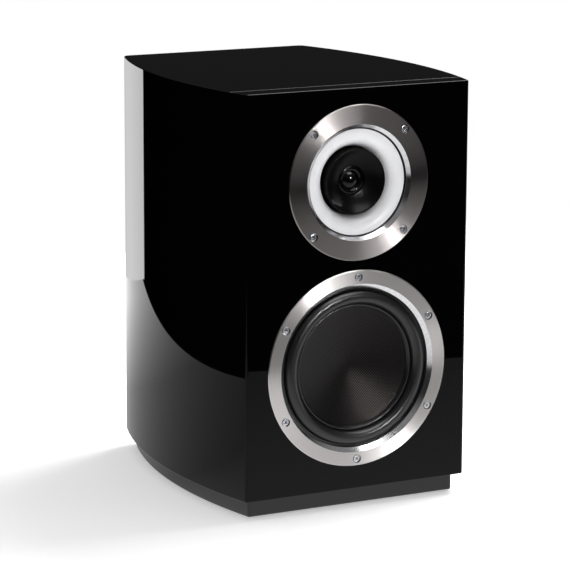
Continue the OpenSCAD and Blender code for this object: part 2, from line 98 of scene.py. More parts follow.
def hold(obj):
    clearPick()
    obj.select_set(True)
    bpy.context.view_layer.objects.active = obj


def named(name):
    obj = bpy.context.object
    obj.name = name
    obj.data.name = name
    return obj


def pick(obj, kind, test):
    # Selects what passes the test, in edit mode, and leaves the piece there.
    hold(obj)
    bpy.ops.object.mode_set(mode="EDIT")
    bpy.ops.mesh.select_mode(type=kind)
    bpy.ops.mesh.select_all(action="DESELECT")
    bpy.ops.object.mode_set(mode="OBJECT")
    mesh = obj.data
    if kind == "FACE":
        for face in mesh.polygons:
            face.select = test(face.center, face.normal)
    elif kind == "EDGE":
        for edge in mesh.edges:
            ends = [mesh.vertices[i].co for i in edge.vertices]
            edge.select = test(ends[0], ends[1])
    else:
        for vert in mesh.vertices:
            vert.select = test(vert.co)
    bpy.ops.object.mode_set(mode="EDIT")


def applied(obj, kind, **settings):
    hold(obj)
    mod = obj.modifiers.new(kind.title(), kind)
    for key, value in settings.items():
        setattr(mod, key, value)
    bpy.ops.object.modifier_apply(modifier=mod.name)


def settled(obj):
    # The piece's place goes into its mesh.
    hold(obj)
    bpy.ops.object.transform_apply(location=True, rotation=True, scale=True)
    return obj


def smoothed(obj, angle=40):
    hold(obj)
    bpy.ops.object.shade_smooth_by_angle(angle=math.radians(angle))
    applied(obj, "WEIGHTED_NORMAL", mode="FACE_AREA", weight=50, keep_sharp=True)
    return obj


def cutOut(obj, cutters):
    hold(cutters[0])
    for other in cutters[1:]:
        other.select_set(True)
    if len(cutters) > 1:
        bpy.ops.object.join()
    tool = bpy.context.object
    applied(obj, "BOOLEAN", operation="DIFFERENCE", solver="EXACT", object=tool)
    bpy.data.objects.remove(tool)
    return obj


def arc(centreR, centreD, radius, start, stop, count):
    # Points of an arc in a turned profile, angles in degrees from outward towards the front.
    points = []
    for i in range(count + 1):
        a = math.radians(start + (stop - start) * i / count)
        points.append((centreR + radius * math.cos(a), centreD - radius * math.sin(a)))
    return points


def eased(points, count=5):
    # Rounds each profile corner that carries a third number, its radius in mm.
    result = []
    total = len(points)
    for i, point in enumerate(points):
        if len(point) < 3:
            result.append(point)
            continue
        here = Vector(point[:2])
        before = (Vector(points[i - 1][:2]) - here).normalized()
        after = (Vector(points[(i + 1) % total][:2]) - here).normalized()
        half = before.angle(after) / 2
        reach = point[2] / math.tan(half)
        centre = here + (before + after).normalized() * (point[2] / math.sin(half))
        start = here + before * reach - centre
        turn = start.angle_signed(here + after * reach - centre)
        for k in range(count + 1):
            spun = Matrix.Rotation(-turn * k / count, 2) @ start
            result.append(tuple(centre + spun))
    return result


def turned(name, profile, centreX, centreZ, baseY, steps=160, closed=True):
    # A profile of (radius, depth) in mm is drawn by extruding a point, then spun round Y.
    # Depth runs into the cabinet from the front, or out of it at the rear.
    clearPick()
    bpy.ops.mesh.primitive_plane_add(size=mm)
    obj = named(name)
    bpy.ops.object.mode_set(mode="EDIT")
    bpy.ops.mesh.select_mode(type="VERT")
    bpy.ops.mesh.select_all(action="SELECT")
    bpy.ops.mesh.merge(type="CENTER")
    spots = [Vector((r * mm, d * mm, 0)) for r, d in profile]
    bpy.ops.transform.translate(value=spots[0])
    path = spots[1:] + (spots[:1] if closed else [])
    last = spots[0]
    for spot in path:
        bpy.ops.mesh.extrude_vertices_move(TRANSFORM_OT_translate={"value": spot - last})
        last = spot
    bpy.ops.mesh.select_all(action="SELECT")
    bpy.ops.mesh.remove_doubles(threshold=1e-7)
    bpy.ops.mesh.spin(steps=steps, angle=tau, center=(0, 0, 0), axis=(0, 1, 0))
    bpy.ops.mesh.select_all(action="SELECT")
    bpy.ops.mesh.remove_doubles(threshold=2e-6)
    bpy.ops.mesh.normals_make_consistent(inside=False)
    bpy.ops.transform.translate(value=(centreX, baseY, centreZ))
    bpy.ops.object.mode_set(mode="OBJECT")
    return settled(obj)


def rod(radius, y0, y1, x, z, sides=48):
    clearPick()
    bpy.ops.mesh.primitive_cylinder_add(
        vertices=sides, radius=radius, depth=abs(y1 - y0),
        location=(x, (y0 + y1) / 2, z), rotation=(math.pi / 2, 0, 0))
    return settled(bpy.context.object)


def copiesAt(first, spots):
    # The modelled piece goes, and a copy with its own mesh stands at each place.
    made = []
    for spot in spots:
        copy = first.copy()
        copy.data = first.data.copy()
        bpy.context.scene.collection.objects.link(copy)
        copy.location = spot
        made.append(settled(copy))
    bpy.data.objects.remove(first)
    hold(made[0])
    for other in made[1:]:
        other.select_set(True)
    bpy.ops.object.join()
    return bpy.context.object


def finished(obj, body, nodes, slot, *mats):
    obj.data.materials.clear()
    for mat in mats:
        obj.data.materials.append(mat)
    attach(obj, body)
    if nodes:
        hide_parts(*nodes)
    return obj


def colour(code, alpha=1.0):
    # sRGB hex to linear
    parts = [int(code[i:i + 2], 16) / 255 for i in (1, 3, 5)]
    return [c / 12.92 if c <= 0.04045 else ((c + 0.055) / 1.055) ** 2.4 for c in parts] + [alpha]


def freshMaterial(name):
    mat = bpy.data.materials.new(name)
    mat.use_nodes = True
    mat.node_tree.nodes.clear()
    return mat


def addNode(mat, kind, links=(), inputs=None, stops=(), **settings):
    # One node. Links are (socket of this node, node, socket of that node), inputs are plain
    # socket values, and stops are a ramp's (position, colour).
    node = mat.node_tree.nodes.new(kind)
    for key, value in settings.items():
        setattr(node, key, value)
    for key, value in (inputs or {}).items():
        node.inputs[key].default_value = value
    if stops:
        elements = node.color_ramp.elements
        while len(elements) < len(stops):
            elements.new(0.5)
        for element, (at, tint) in zip(elements, stops):
            element.position = at
            element.color = tint
    for target, source, output in links:
        mat.node_tree.links.new(source.outputs[output], node.inputs[target])
    return node


def grey(level):
    return [level] * 3 + [1]


def perMetre(size):
    # The scale of a noise whose cells are about size mm across.
    return 1000 / size


def waveScale(period):
    # A band texture repeats every tau / 20 / scale metres; period in mm.
    return tau / 20 / (period * mm)


def plainFinish(name, low, high, size, rough, metallic=0.0, depth=0.02, ior=1.5):
    # A surface with fine grain: colour drifts from low to high over cells of size mm.
    # Depth is in mm. A metal keeps the default IOR.
    mat = freshMaterial(name)
    place = addNode(mat, "ShaderNodeTexCoord")
    noise = addNode(mat, "ShaderNodeTexNoise", [("Vector", place, "Object")],
                    {"Scale": perMetre(size), "Detail": 2.0, "Roughness": 0.5})
    tint = addNode(mat, "ShaderNodeValToRGB", [("Fac", noise, "Fac")],
                   stops=[(0.35, colour(low)), (0.65, colour(high))])
    bump = addNode(mat, "ShaderNodeBump", [("Height", noise, "Fac")],
                   {"Strength": 0.5, "Distance": depth * mm})
    sockets = {"Roughness": rough, "Metallic": metallic}
    if metallic < 0.5:
        sockets["IOR"] = ior
    surface = addNode(mat, "ShaderNodeBsdfPrincipled",
                      [("Base Color", tint, "Color"), ("Normal", bump, "Normal")], sockets)
    addNode(mat, "ShaderNodeOutputMaterial", [("Surface", surface, "BSDF")])
    return mat


def pianoLacquer():
    # Polyester lacquer, sanded and polished: deep black under a mirror, with the faint
    # long-wave ripple that polishing leaves. Its IOR is lowered to keep the mirror dim.
    mat = freshMaterial("polishedPianoLacquer")
    place = addNode(mat, "ShaderNodeTexCoord")
    ripple = addNode(mat, "ShaderNodeTexNoise", [("Vector", place, "Object")],
                     {"Scale": perMetre(34), "Detail": 1.0, "Roughness": 0.5})
    haze = addNode(mat, "ShaderNodeTexNoise", [("Vector", place, "Object")],
                   {"Scale": perMetre(9), "Detail": 3.0, "Roughness": 0.5})
    bump = addNode(mat, "ShaderNodeBump", [("Height", ripple, "Fac")],
                   {"Strength": 0.35, "Distance": 0.006 * mm})
    rough = addNode(mat, "ShaderNodeValToRGB", [("Fac", haze, "Fac")],
                    stops=[(0.4, grey(0.012)), (0.7, grey(0.03))])
    surface = addNode(mat, "ShaderNodeBsdfPrincipled",
                      [("Normal", bump, "Normal"), ("Roughness", rough, "Color")],
                      {"Base Color": colour("#030304"), "IOR": 1.24})
    addNode(mat, "ShaderNodeOutputMaterial", [("Surface", surface, "BSDF")])
    return mat


def turnedAluminium(centreZ, low, high):
    # Aluminium faced on a lathe: grooves run round the ring, so light spreads along the
    # radius in bright fans. Real grooves are 0.05 mm apart; 0.35 mm is what can show.
    mat = freshMaterial("turnedAluminium")
    place = addNode(mat, "ShaderNodeTexCoord")
    shift = addNode(mat, "ShaderNodeMapping", [("Vector", place, "Object")],
                    {"Location": (0, 0, -centreZ)})
    parts = addNode(mat, "ShaderNodeSeparateXYZ", [("Vector", shift, "Vector")])
    xx = addNode(mat, "ShaderNodeMath", [(0, parts, "X"), (1, parts, "X")], operation="MULTIPLY")
    zz = addNode(mat, "ShaderNodeMath", [(0, parts, "Z"), (1, parts, "Z"), (2, xx, 0)],
                 operation="MULTIPLY_ADD")
    radius = addNode(mat, "ShaderNodeMath", [(0, zz, 0)], operation="SQRT")
    groove = addNode(mat, "ShaderNodeTexNoise", [("W", radius, 0)],
                     {"Scale": perMetre(0.35), "Detail": 3}, noise_dimensions="1D")
    tone = addNode(mat, "ShaderNodeValToRGB", [("Fac", groove, "Fac")],
                   stops=[(0.3, colour(low)), (0.7, colour(high))])
    rough = addNode(mat, "ShaderNodeValToRGB", [("Fac", groove, "Fac")],
                    stops=[(0.3, grey(0.33)), (0.7, grey(0.4))])
    bump = addNode(mat, "ShaderNodeBump", [("Height", groove, "Fac")],
                   {"Strength": 0.5, "Distance": 0.004 * mm})
    along = addNode(mat, "ShaderNodeTangent", direction_type="UV_MAP", uv_map="turning")
    surface = addNode(mat, "ShaderNodeBsdfPrincipled",
                      [("Base Color", tone, "Color"), ("Roughness", rough, "Color"),
                       ("Normal", bump, "Normal"), ("Tangent", along, "Tangent")],
                      {"Metallic": 1.0, "Anisotropic": 1.0})
    addNode(mat, "ShaderNodeOutputMaterial", [("Surface", surface, "BSDF")])
    return mat


def twillCone():
    # Woven threads 0.85 mm apart in dark resin, under a thin satin coat. They catch light
    # in turn, so the pattern repeats every 1.7 mm.
    mat = freshMaterial("coatedTwill")
    place = addNode(mat, "ShaderNodeTexCoord")
    turn = addNode(mat, "ShaderNodeMapping", [("Vector", place, "Object")],
                   {"Rotation": (0, math.radians(45), 0)})
    warp, weft = [addNode(mat, "ShaderNodeTexWave", [("Vector", turn, "Vector")],
                          {"Scale": waveScale(1.7)}, wave_type="BANDS", bands_direction=axis,
                          wave_profile="SIN") for axis in ("X", "Z")]
    weave = addNode(mat, "ShaderNodeMath", [(0, warp, "Fac"), (1, weft, "Fac")],
                    operation="MULTIPLY")
    tone = addNode(mat, "ShaderNodeValToRGB", [("Fac", weave, 0)],
                   stops=[(0.1, colour("#060608")), (0.7, colour("#1C1A1B"))])
    shine = addNode(mat, "ShaderNodeValToRGB", [("Fac", weave, 0)],
                    stops=[(0.1, grey(0.02)), (0.7, colour("#C8BEB8"))])
    bump = addNode(mat, "ShaderNodeBump", [("Height", weave, 0)],
                   {"Strength": 0.5, "Distance": 0.12 * mm})
    surface = addNode(mat, "ShaderNodeBsdfPrincipled",
                      [("Base Color", tone, "Color"), ("Normal", bump, "Normal"),
                       ("Specular Tint", shine, "Color")], {"Roughness": 0.3, "IOR": 1.6})
    addNode(mat, "ShaderNodeOutputMaterial", [("Surface", surface, "BSDF")])
    return mat


lacquer = pianoLacquer()
# The upper ring is the same metal as the woofer's, painted a shade darker: painted shade for the dimmer
# light it gets.
wooferFace = turnedAluminium(wooferZ, "#CECAC9", "#EAE6E5")
upperFacePaintedShade = turnedAluminium(upperZ, "#9A9493", "#B2ADAC")
# Diamond-cut aluminium edge: almost a mirror, a breath of haze
cutEdge = plainFinish("diamondCutAluminium", "#D2D2D4", "#DCDCDE", 3, 0.15, 1.0, 0.001)
# Chromed steel: bright, cool
chrome = plainFinish("chromedSteel", "#C4C4C8", "#DADADE", 1.5, 0.29, 1.0, 0.002)
# Butyl rubber, moulded: dark, soft sheen from the mould's polish
rubber = plainFinish("mouldedButylRubber", "#0E0E10", "#131317", 0.6, 0.3, 0.0, 0.008, 1.52)
# Pressed foot rubber
footRubber = plainFinish("footRubber", "#101011", "#19191A", 0.8, 0.7, 0.0, 0.03, 1.52)
# Satin white paint on a formed cone: bright, soft highlight
whiteSkin = plainFinish("satinWhiteLacquer", "#F0F0F2", "#F6F6F8", 0.9, 0.38, 0.0, 0.004)
# ABS with a fine moulded satin; a low IOR keeps its broad glints dim
hornBlack = plainFinish("satinMouldedAbs", "#050507", "#08080A", 0.5, 0.28, 0.0, 0.002, 1.2)
# Doped silk dome: wet gloss
domeGloss = plainFinish("dopedSilkDome", "#050506", "#0A0A0C", 0.35, 0.1, 0.0, 0.003, 1.34)
# Satin black lacquer of the plinth: dull mirror, slight orange peel
plinthBlack = plainFinish("satinPlinthLacquer", "#060607", "#0A0A0B", 1.2, 0.3, 0.0, 0.01, 1.45)
cone = twillCone()


def banded(name, low, high, period, axis, rough, metallic=0.0, depth=0.05, grainSize=2.0):
    # Parallel layers or turns, period mm apart along one axis, broken up by fine grain.
    mat = freshMaterial(name)
    place = addNode(mat, "ShaderNodeTexCoord")
    bands = addNode(mat, "ShaderNodeTexWave", [("Vector", place, "Object")],
                    {"Scale": waveScale(period), "Distortion": 0.3},
                    wave_type="BANDS", bands_direction=axis, wave_profile="SIN")
    noise = addNode(mat, "ShaderNodeTexNoise", [("Vector", place, "Object")],
                    {"Scale": perMetre(grainSize), "Detail": 2.0, "Roughness": 0.5})
    mixed = addNode(mat, "ShaderNodeMath", [(0, bands, "Fac"), (1, noise, "Fac")],
                    operation="MULTIPLY")
    tint = addNode(mat, "ShaderNodeValToRGB", [("Fac", mixed, 0)],
                   stops=[(0.1, colour(low)), (0.6, colour(high))])
    bump = addNode(mat, "ShaderNodeBump", [("Height", bands, "Fac")],
                   {"Strength": 0.6, "Distance": depth * mm})
    surface = addNode(mat, "ShaderNodeBsdfPrincipled",
                      [("Base Color", tint, "Color"), ("Normal", bump, "Normal")],
                      {"Roughness": rough, "Metallic": metallic})
    addNode(mat, "ShaderNodeOutputMaterial", [("Surface", surface, "BSDF")])
    return mat


# Birch ply: pale plies 1.4 mm thick, matt
plywood = banded("birchPlywood", "#B98F5C", "#E3C593", 1.4, "Z", 0.6)
# Open-cell polyurethane foam: pitted, dead matt
openFoam = plainFinish("openCellFoam", "#2B2B2F", "#5A5A60", 1.1, 0.95, 0.0, 0.9, 1.45)
# Closed-cell EVA foam: fine skin, matt
closedFoam = plainFinish("closedCellFoam", "#0D0D0E", "#18181A", 0.7, 0.85, 0.0, 0.05, 1.45)
# Zinc plated mild steel: cool, slightly cloudy
zinc = plainFinish("zincPlatedSteel", "#A9ABB0", "#C5C7CC", 4, 0.35, 1.0, 0.01)
# Machined brass under clear lacquer: warm, clean
brass = plainFinish("machinedBrass", "#C8A045", "#E0BE68", 0.6, 0.2, 1.0, 0.004)
# Cast aluminium, powder coated black: fine orange peel
casting = plainFinish("powderCoatedCasting", "#101012", "#1C1C1F", 0.8, 0.55, 0.0, 0.03)
# Polyimide film: amber, satin
former = plainFinish("polyimideFilm", "#8A5A1C", "#A8742C", 2, 0.4, 0.0, 0.01, 1.7)
# Enamelled copper wire wound side by side, drawn 0.6 mm apart so that it shows
winding = banded("enamelledCopperWire", "#8E3F16", "#D07A3A", 0.6, "Y", 0.28, 1.0)
# The same wire, coloured near black: painted shade, so that where it shows through a gap it reads as dark
windingDarkenedAsShade = banded("windingPaintedShade", "#0C0908", "#1C1512", 0.6, "Y", 0.45, 0.2)
choke = banded("chokeWinding", "#8E3F16", "#D07A3A", 0.8, "Z", 0.28, 1.0)
# Phenolic-dipped cotton: coarse open weave
spiderCloth = banded("phenolicCotton", "#8C6A2C", "#C79E52", 0.9, "X", 0.8, 0.0, 0.1, 0.9)
# Sintered ferrite: dark grey, ground
ferrite = plainFinish("sinteredFerrite", "#242427", "#36363A", 0.8, 0.6, 0.0, 0.02, 2.0)
# Nickel plate on neodymium
nickel = plainFinish("nickelPlate", "#B5B3AE", "#CCCAC5", 2, 0.18, 1.0, 0.003)
# Woven silk with a rubbery coat
silk = plainFinish("coatedSilk", "#0B0B0C", "#17171A", 0.3, 0.5, 0.0, 0.02)
# Moulded ABS with a spark-eroded texture: even fine pits, satin
texturedAbs = plainFinish("texturedAbs", "#0B0B0C", "#151517", 0.45, 0.48, 0.0, 0.03, 1.54)
# Moulded nylon caps: glossy, coloured right through
redCap = plainFinish("mouldedRedNylon", "#7E0B0C", "#9C1314", 3, 0.24, 0.0, 0.004, 1.53)
blackCap = plainFinish("mouldedBlackNylon", "#08080A", "#101013", 3, 0.24, 0.0, 0.004, 1.53)
# Black oxide screws: oily dark steel
blackSteel = plainFinish("blackOxideSteel", "#2A2A2D", "#3C3C40", 0.8, 0.34, 1.0, 0.006)
# Solder resist on glass-epoxy board, pads dimly showing through
board = plainFinish("solderResist", "#07381F", "#0E5A33", 4, 0.28, 0.0, 0.02)
# Polypropylene film wrap, semi gloss
filmWrap = plainFinish("polypropyleneWrap", "#A8521A", "#C4702C", 3, 0.3, 0.0, 0.01)
# Fired ceramic cases: chalky
ceramic = plainFinish("firedCeramic", "#CFCABB", "#E2DED2", 1.2, 0.7, 0.0, 0.03, 1.6)
# PVC wire covers
wirePvc = plainFinish("wirePvc", "#5A0C0C", "#7A1616", 5, 0.4, 0.0, 0.01, 1.53)
print("materials ready")


cabinet = {
    "sideRadius": 497.0, "widestAt": 117.0, "frontWidth": 217.0, "depth": 286.0,
    "frontRound": 2.5, "backRound": 8.0, "wall": 18.0, "baffle": 22.0, "edgeRound": 0.8,
}
arcX = math.sqrt(cabinet["sideRadius"] ** 2 - cabinet["widestAt"] ** 2) - cabinet["frontWidth"] / 2


def sideX(y, inset=0.0):
    reach = (cabinet["sideRadius"] - inset) ** 2 - (y - cabinet["widestAt"]) ** 2
    return math.sqrt(reach) - arcX


def bowPoints(y0, y1, inset, count):
    # The right-hand bow from y0 to y1, at even angles.
    radius = cabinet["sideRadius"] - inset
    start = math.asin((y0 - cabinet["widestAt"]) / radius)
    stop = math.asin((y1 - cabinet["widestAt"]) / radius)
    turns = [start + (stop - start) * i / count for i in range(count + 1)]
    return [(radius * math.cos(a) - arcX, cabinet["widestAt"] + radius * math.sin(a))
            for a in turns]


def cornerPoints(inset, atBack, count=10):
    radius = cabinet["backRound" if atBack else "frontRound"]
    cy = cabinet["depth"] - inset - radius if atBack else inset + radius
    cx = sideX(cy, inset + radius)
    side = math.atan2(cy - cabinet["widestAt"], cx + arcX)
    start, stop = (side, math.pi / 2) if atBack else (-math.pi / 2, side)
    turns = [start + (stop - start) * i / count for i in range(count + 1)]
    return [(cx + radius * math.cos(a), cy + radius * math.sin(a)) for a in turns], cy, radius, side


def planOutline(inset=0.0, count=400):
    front, frontY0, frontR, frontTurn = cornerPoints(inset, False)
    back, backY0, backR, backTurn = cornerPoints(inset, True)
    right = front[:-1] + bowPoints(frontY0 + frontR * math.sin(frontTurn),
                                   backY0 + backR * math.sin(backTurn), inset, count) + back[1:]
    return right + [(-x, y) for x, y in reversed(right)]


def slabOf(name, outline, low, high):
    # A ring of points laid on the outline, filled and extruded upwards.
    clearPick()
    bpy.ops.mesh.primitive_circle_add(vertices=len(outline), radius=0.1, fill_type="NGON")
    obj = named(name)
    for vert, (x, y) in zip(obj.data.vertices, outline):
        vert.co = (x * mm, frontY + y * mm, low)
    bpy.ops.object.mode_set(mode="EDIT")
    bpy.ops.mesh.select_all(action="SELECT")
    bpy.ops.mesh.extrude_region_move(TRANSFORM_OT_translate={"value": (0, 0, high - low)})
    bpy.ops.mesh.select_all(action="SELECT")
    bpy.ops.mesh.normals_make_consistent(inside=False)
    bpy.ops.object.mode_set(mode="OBJECT")
    return settled(obj)


def trimmed(obj, y, keepFront):
    pick(obj, "FACE", lambda c, n: True)
    bpy.ops.mesh.bisect(plane_co=(0, y, 0), plane_no=(0, 1, 0), use_fill=True,
                        clear_outer=keepFront, clear_inner=not keepFront)
    bpy.ops.object.mode_set(mode="OBJECT")
    return obj


def rimRounded(obj, z, seamY, radius):
    # Rounds the rim at height z, but not the edge on the seam with the next panel.
    def onRim(a, b):
        level = abs(a.z - z) < 1e-6 and abs(b.z - z) < 1e-6
        seam = abs(a.y - seamY) < 1e-6 and abs(b.y - seamY) < 1e-6
        return level and not seam
    pick(obj, "EDGE", onRim)
    bpy.ops.mesh.bevel(offset=radius * mm, segments=4, profile=0.5, clamp_overlap=False)
    bpy.ops.object.mode_set(mode="OBJECT")
    return obj


wallTop = cabinetTop - cabinet["wall"] * mm
wallLow = cabinetLow + cabinet["wall"] * mm
seamY = frontY + cabinet["baffle"] * mm
fullPlan = planOutline()

baffle = trimmed(slabOf("frontBaffle", fullPlan, cabinetLow, cabinetTop), seamY, True)
for rimZ in (cabinetLow, cabinetTop):
    rimRounded(baffle, rimZ, seamY, cabinet["edgeRound"])
topPanel = trimmed(slabOf("topPanel", fullPlan, wallTop, cabinetTop), seamY, False)
rimRounded(topPanel, cabinetTop, seamY, cabinet["edgeRound"])
bottomPanel = trimmed(slabOf("bottomPanel", fullPlan, cabinetLow, wallLow), seamY, False)
rimRounded(bottomPanel, cabinetLow, seamY, cabinet["edgeRound"])
rearPanel = trimmed(slabOf("rearPanel", fullPlan, wallLow, wallTop),
                    rearY - cabinet["wall"] * mm, False)
for name, side in (("rightSidePanel", 1), ("leftSidePanel", -1)):
    backAt = cabinet["depth"] - cabinet["wall"]
    outer = bowPoints(cabinet["baffle"], backAt, 0, 400)
    inner = bowPoints(cabinet["baffle"], backAt, cabinet["wall"], 60)
    outline = [(side * x, y) for x, y in outer + inner[::-1]]
    panel = slabOf(name, outline[::side], wallLow, wallTop)
    smoothed(panel)
    finished(panel, "cabinet", [name.replace("SidePanel", "_side_panel")], "black_lacquer", lacquer)

drivers = {
    "wooferRecess": wooferR + 0.3, "wooferHole": wooferR * 0.87,
    "upperRecess": upperR + 0.3, "upperHole": upperR * 0.78 + 1.2, "recessDepth": 9.7,
}
for recess, hole, z in (("wooferRecess", "wooferHole", wooferZ),
                        ("upperRecess", "upperHole", upperZ)):
    deep = frontY + drivers["recessDepth"] * mm
    cutOut(baffle, [rod(drivers[recess] * mm, frontY - 0.01, deep, 0, z, 256)])
    cutOut(baffle, [rod(drivers[hole] * mm, deep - 0.002, seamY + 0.01, 0, z, 192)])
for panel, node in ((baffle, "front_baffle"), (topPanel, "top_panel"),
                    (bottomPanel, "bottom_panel")):
    smoothed(panel)
    finished(panel, "cabinet", [node], "black_lacquer", lacquer)
print("cabinet panels made")

rear = {"portR": 25.0, "portZ": upperZ - 0.004, "postZ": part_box("post_studs")[0].z + 0.007,
        "postX": 0.019, "flangeIn": 10.1, "flangeOut": 13.1, "tubeGap": 2.6}
for wider, deep in (("flangeIn", 0.0101), ("flangeOut", 0.0029), ("tubeGap", 0.03)):
    cutOut(rearPanel, [rod((rear["portR"] + rear[wider]) * mm, rearY - deep, rearY + 0.01,
                           0, rear["portZ"], 192)])
clearPick()
bpy.ops.mesh.primitive_cube_add(size=1, location=(0, rearY, rear["postZ"]),
                                scale=(0.066, 0.06, 0.036))
cutOut(rearPanel, [settled(bpy.context.object)])
smoothed(rearPanel)
finished(rearPanel, "cabinet", ["rear_panel"], "black_lacquer", lacquer)

plinth = {"inset": 8.5, "step": 4.0, "edge": 1.2}
plinthLow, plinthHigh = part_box("plinth")
shoulder = plinthLow.z + 0.0145
base = slabOf("plinth", planOutline(plinth["inset"], 200), plinthLow.z, shoulder)
for rimZ in (plinthLow.z, shoulder):
    rimRounded(base, rimZ, 99, plinth["edge"])
smoothed(base)
neck = slabOf("plinthNeck", planOutline(plinth["inset"] + plinth["step"], 120), shoulder,
              plinthHigh.z)
smoothed(neck)
hold(neck)
base.select_set(True)
bpy.context.view_layer.objects.active = base
bpy.ops.object.join()
insertLow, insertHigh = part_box("stand_inserts")
driveLow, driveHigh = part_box("plinth_screws")
plinthDeep = cabinet["depth"] * mm
feet = [(x * 0.084, frontY + plinthDeep * 0.09) for x in (-1, 1)]
feet += [(x * 0.068, frontY + plinthDeep * 0.91) for x in (-1, 1)]
inserts = [(x * (insertHigh.x - 0.0045), y) for x in (-1, 1)
           for y in (insertLow.y + 0.0045, insertHigh.y - 0.0045)]
drives = [(x * (driveHigh.x - 0.0046), y) for x in (-1, 1)
          for y in (driveLow.y + 0.0046, driveHigh.y - 0.0046)]


def peg(radius, z0, z1, x, y, sides=48):
    clearPick()
    bpy.ops.mesh.primitive_cylinder_add(vertices=sides, radius=radius * mm, depth=z1 - z0,
                                        location=(x, y, (z0 + z1) / 2))
    return settled(bpy.context.object)


cutOut(base, [peg(9.05, -0.01, plinthLow.z + 0.0025, x, y, 64) for x, y in feet]
       + [peg(4.55, -0.01, plinthLow.z + 0.012, x, y) for x, y in inserts]
       + [peg(5.2, -0.01, plinthLow.z + 0.005, x, y) for x, y in drives])
smoothed(base)
finished(base, "cabinet", ["plinth"], "satin_black", plinthBlack)


def upright(obj):
    # A piece turned about Y is stood on Z.
    obj.rotation_euler = (math.pi / 2, 0, 0)
    return settled(obj)


foot = upright(turned("rubberFeet", eased([
    (0, 0.8), (5.2, 0.8, 0.3), (5.7, 0.0, 0.3), (8.6, 0.0, 0.6), (9.0, 1.6), (9.0, 3.95),
    (0, 3.95)]), 0, 0, 0, steps=64))
foot = copiesAt(foot, [(x, y, 0) for x, y in feet])
foot.name = foot.data.name = "rubberFeet"
smoothed(foot)
finished(foot, "cabinet", ["rubber_feet"], "black_rubber", footRubber)

thread = [(3.0 + 0.3 * (i % 2), 1.7 + 0.6 * i) for i in range(19)]
insert = upright(turned("standInserts", [(4.5, 1.7), *thread, (3.0, 13.5), (4.5, 13.5)],
                        0, 0, 0, steps=48))
insert = copiesAt(insert, [(x, y, 0) for x, y in inserts])
insert.name = insert.data.name = "standInserts"
smoothed(insert, 30)
finished(insert, "cabinet", ["stand_inserts"], "brass", brass)
print("plinth, feet and inserts made")


ringCut = {"proud": 0.8, "back": 5.2, "chamfer": 3.0, "break": 0.12, "slope": 0.8,
           "headR": 3.0, "gap": 0.95, "seat": 3.6, "holeR": 2.4}
# Land, bore and screw circle are parts of each ring's radius; firstAt is in degrees.
wooferRing = {"land": 0.86, "bore": 0.815, "screwCircle": 0.93, "screws": 6, "firstAt": 90,
              "shank": 2.0}
upperRing = {"land": 0.745, "bore": 0.70, "screwCircle": 0.916, "screws": 4, "firstAt": 45,
             "shank": 1.75}


def radialMap(obj, centreZ):
    # u runs outwards and v round the ring, so that the shine follows the turning.
    layer = obj.data.uv_layers.new(name="turning")
    for face in obj.data.polygons:
        middle = math.atan2(face.center.z - centreZ, face.center.x)
        for loop in face.loop_indices:
            co = obj.data.vertices[obj.data.loops[loop].vertex_index].co
            angle = math.atan2(co.z - centreZ, co.x)
            angle += tau * round((middle - angle) / tau)
            layer.data[loop].uv = (math.hypot(co.x, co.z - centreZ) * 10, angle / tau)


def trimRing(name, node, radius, centreZ, cut, face):
    edge = ringCut["break"]
    land, bore, screwR = (radius * cut[key] for key in ("land", "bore", "screwCircle"))
    profile = eased([
        (land, -ringCut["proud"], edge), (radius - ringCut["slope"], -ringCut["proud"], edge),
        (radius, 0.0, edge), (radius, ringCut["back"]), (bore, ringCut["back"]),
        (bore, ringCut["chamfer"] - ringCut["proud"], edge)], 3)
    ring = turned(name, profile, 0, centreZ, frontY, steps=256)
    spots = []
    for i in range(cut["screws"]):
        a = math.radians(cut["firstAt"] + 360 * i / cut["screws"])
        spots.append((screwR * mm * math.cos(a), centreZ + screwR * mm * math.sin(a)))
    for x, z in spots:
        cutOut(ring, [rod((ringCut["headR"] + ringCut["gap"]) * mm, frontY - 0.01,
                          frontY + ringCut["seat"] * mm, x, z)])
        cutOut(ring, [rod(ringCut["holeR"] * mm, frontY, frontY + 0.01, x, z, 32)])
    smoothed(ring, 25)
    finished(ring, "cabinet", [node], "turned_aluminium", face, cutEdge)
    for poly in ring.data.polygons:
        onFace = poly.center.y < frontY + 0.0001 and poly.normal.y < -0.1
        reach = math.hypot(poly.center.x, poly.center.z - centreZ)
        poly.material_index = 0 if onFace and reach > (land - 0.1) * mm else 1
    radialMap(ring, centreZ)
    return spots


def screwSet(name, node, slot, mat, profile, baseY, socket, spots):
    # One screw with a hexagon socket is modelled, then copied to each place.
    first = turned(name, eased(profile, 4), 0, 0, baseY, steps=48)
    socketR, socketFrom, socketTo = socket
    cutOut(first, [rod(socketR * mm, baseY + socketFrom * mm, baseY + socketTo * mm, 0, 0, 6)])
    screws = copiesAt(first, [(x, 0, z) for x, z in spots])
    screws.name = screws.data.name = name
    smoothed(screws, 35)
    return finished(screws, "cabinet", [node], slot, mat)


wooferSpots = trimRing("wooferTrimRing", "woofer_trim_ring", wooferR, wooferZ, wooferRing,
                       wooferFace)
upperSpots = trimRing("upperTrimRing", "upper_trim_ring", upperR, upperZ, upperRing, upperFacePaintedShade)
headR, seat = ringCut["headR"], ringCut["seat"]
for name, node, spots, cut in (("wooferScrews", "woofer_screws", wooferSpots, wooferRing),
                               ("upperScrews", "upper_screws", upperSpots, upperRing)):
    shank = cut["shank"]
    screwSet(name, node, "chromed_steel", chrome,
             [(0, -0.4), (headR, -0.4, 0.55), (headR, seat), (shank, seat), (shank, 18.6),
              (0, 18.6)], frontY, (headR * 0.55, -9, 2), spots)
print("trim rings and screws made")


woofer = {"rollR": 63.0, "roll": 6.3, "rubber": 0.85, "foot": 6.0, "ridgeR": 55.4, "ridge": 1.3,
          "coneR": 56.0, "coneEdge": 7.7, "dish": 14.5, "power": 1.35, "paper": 0.7}

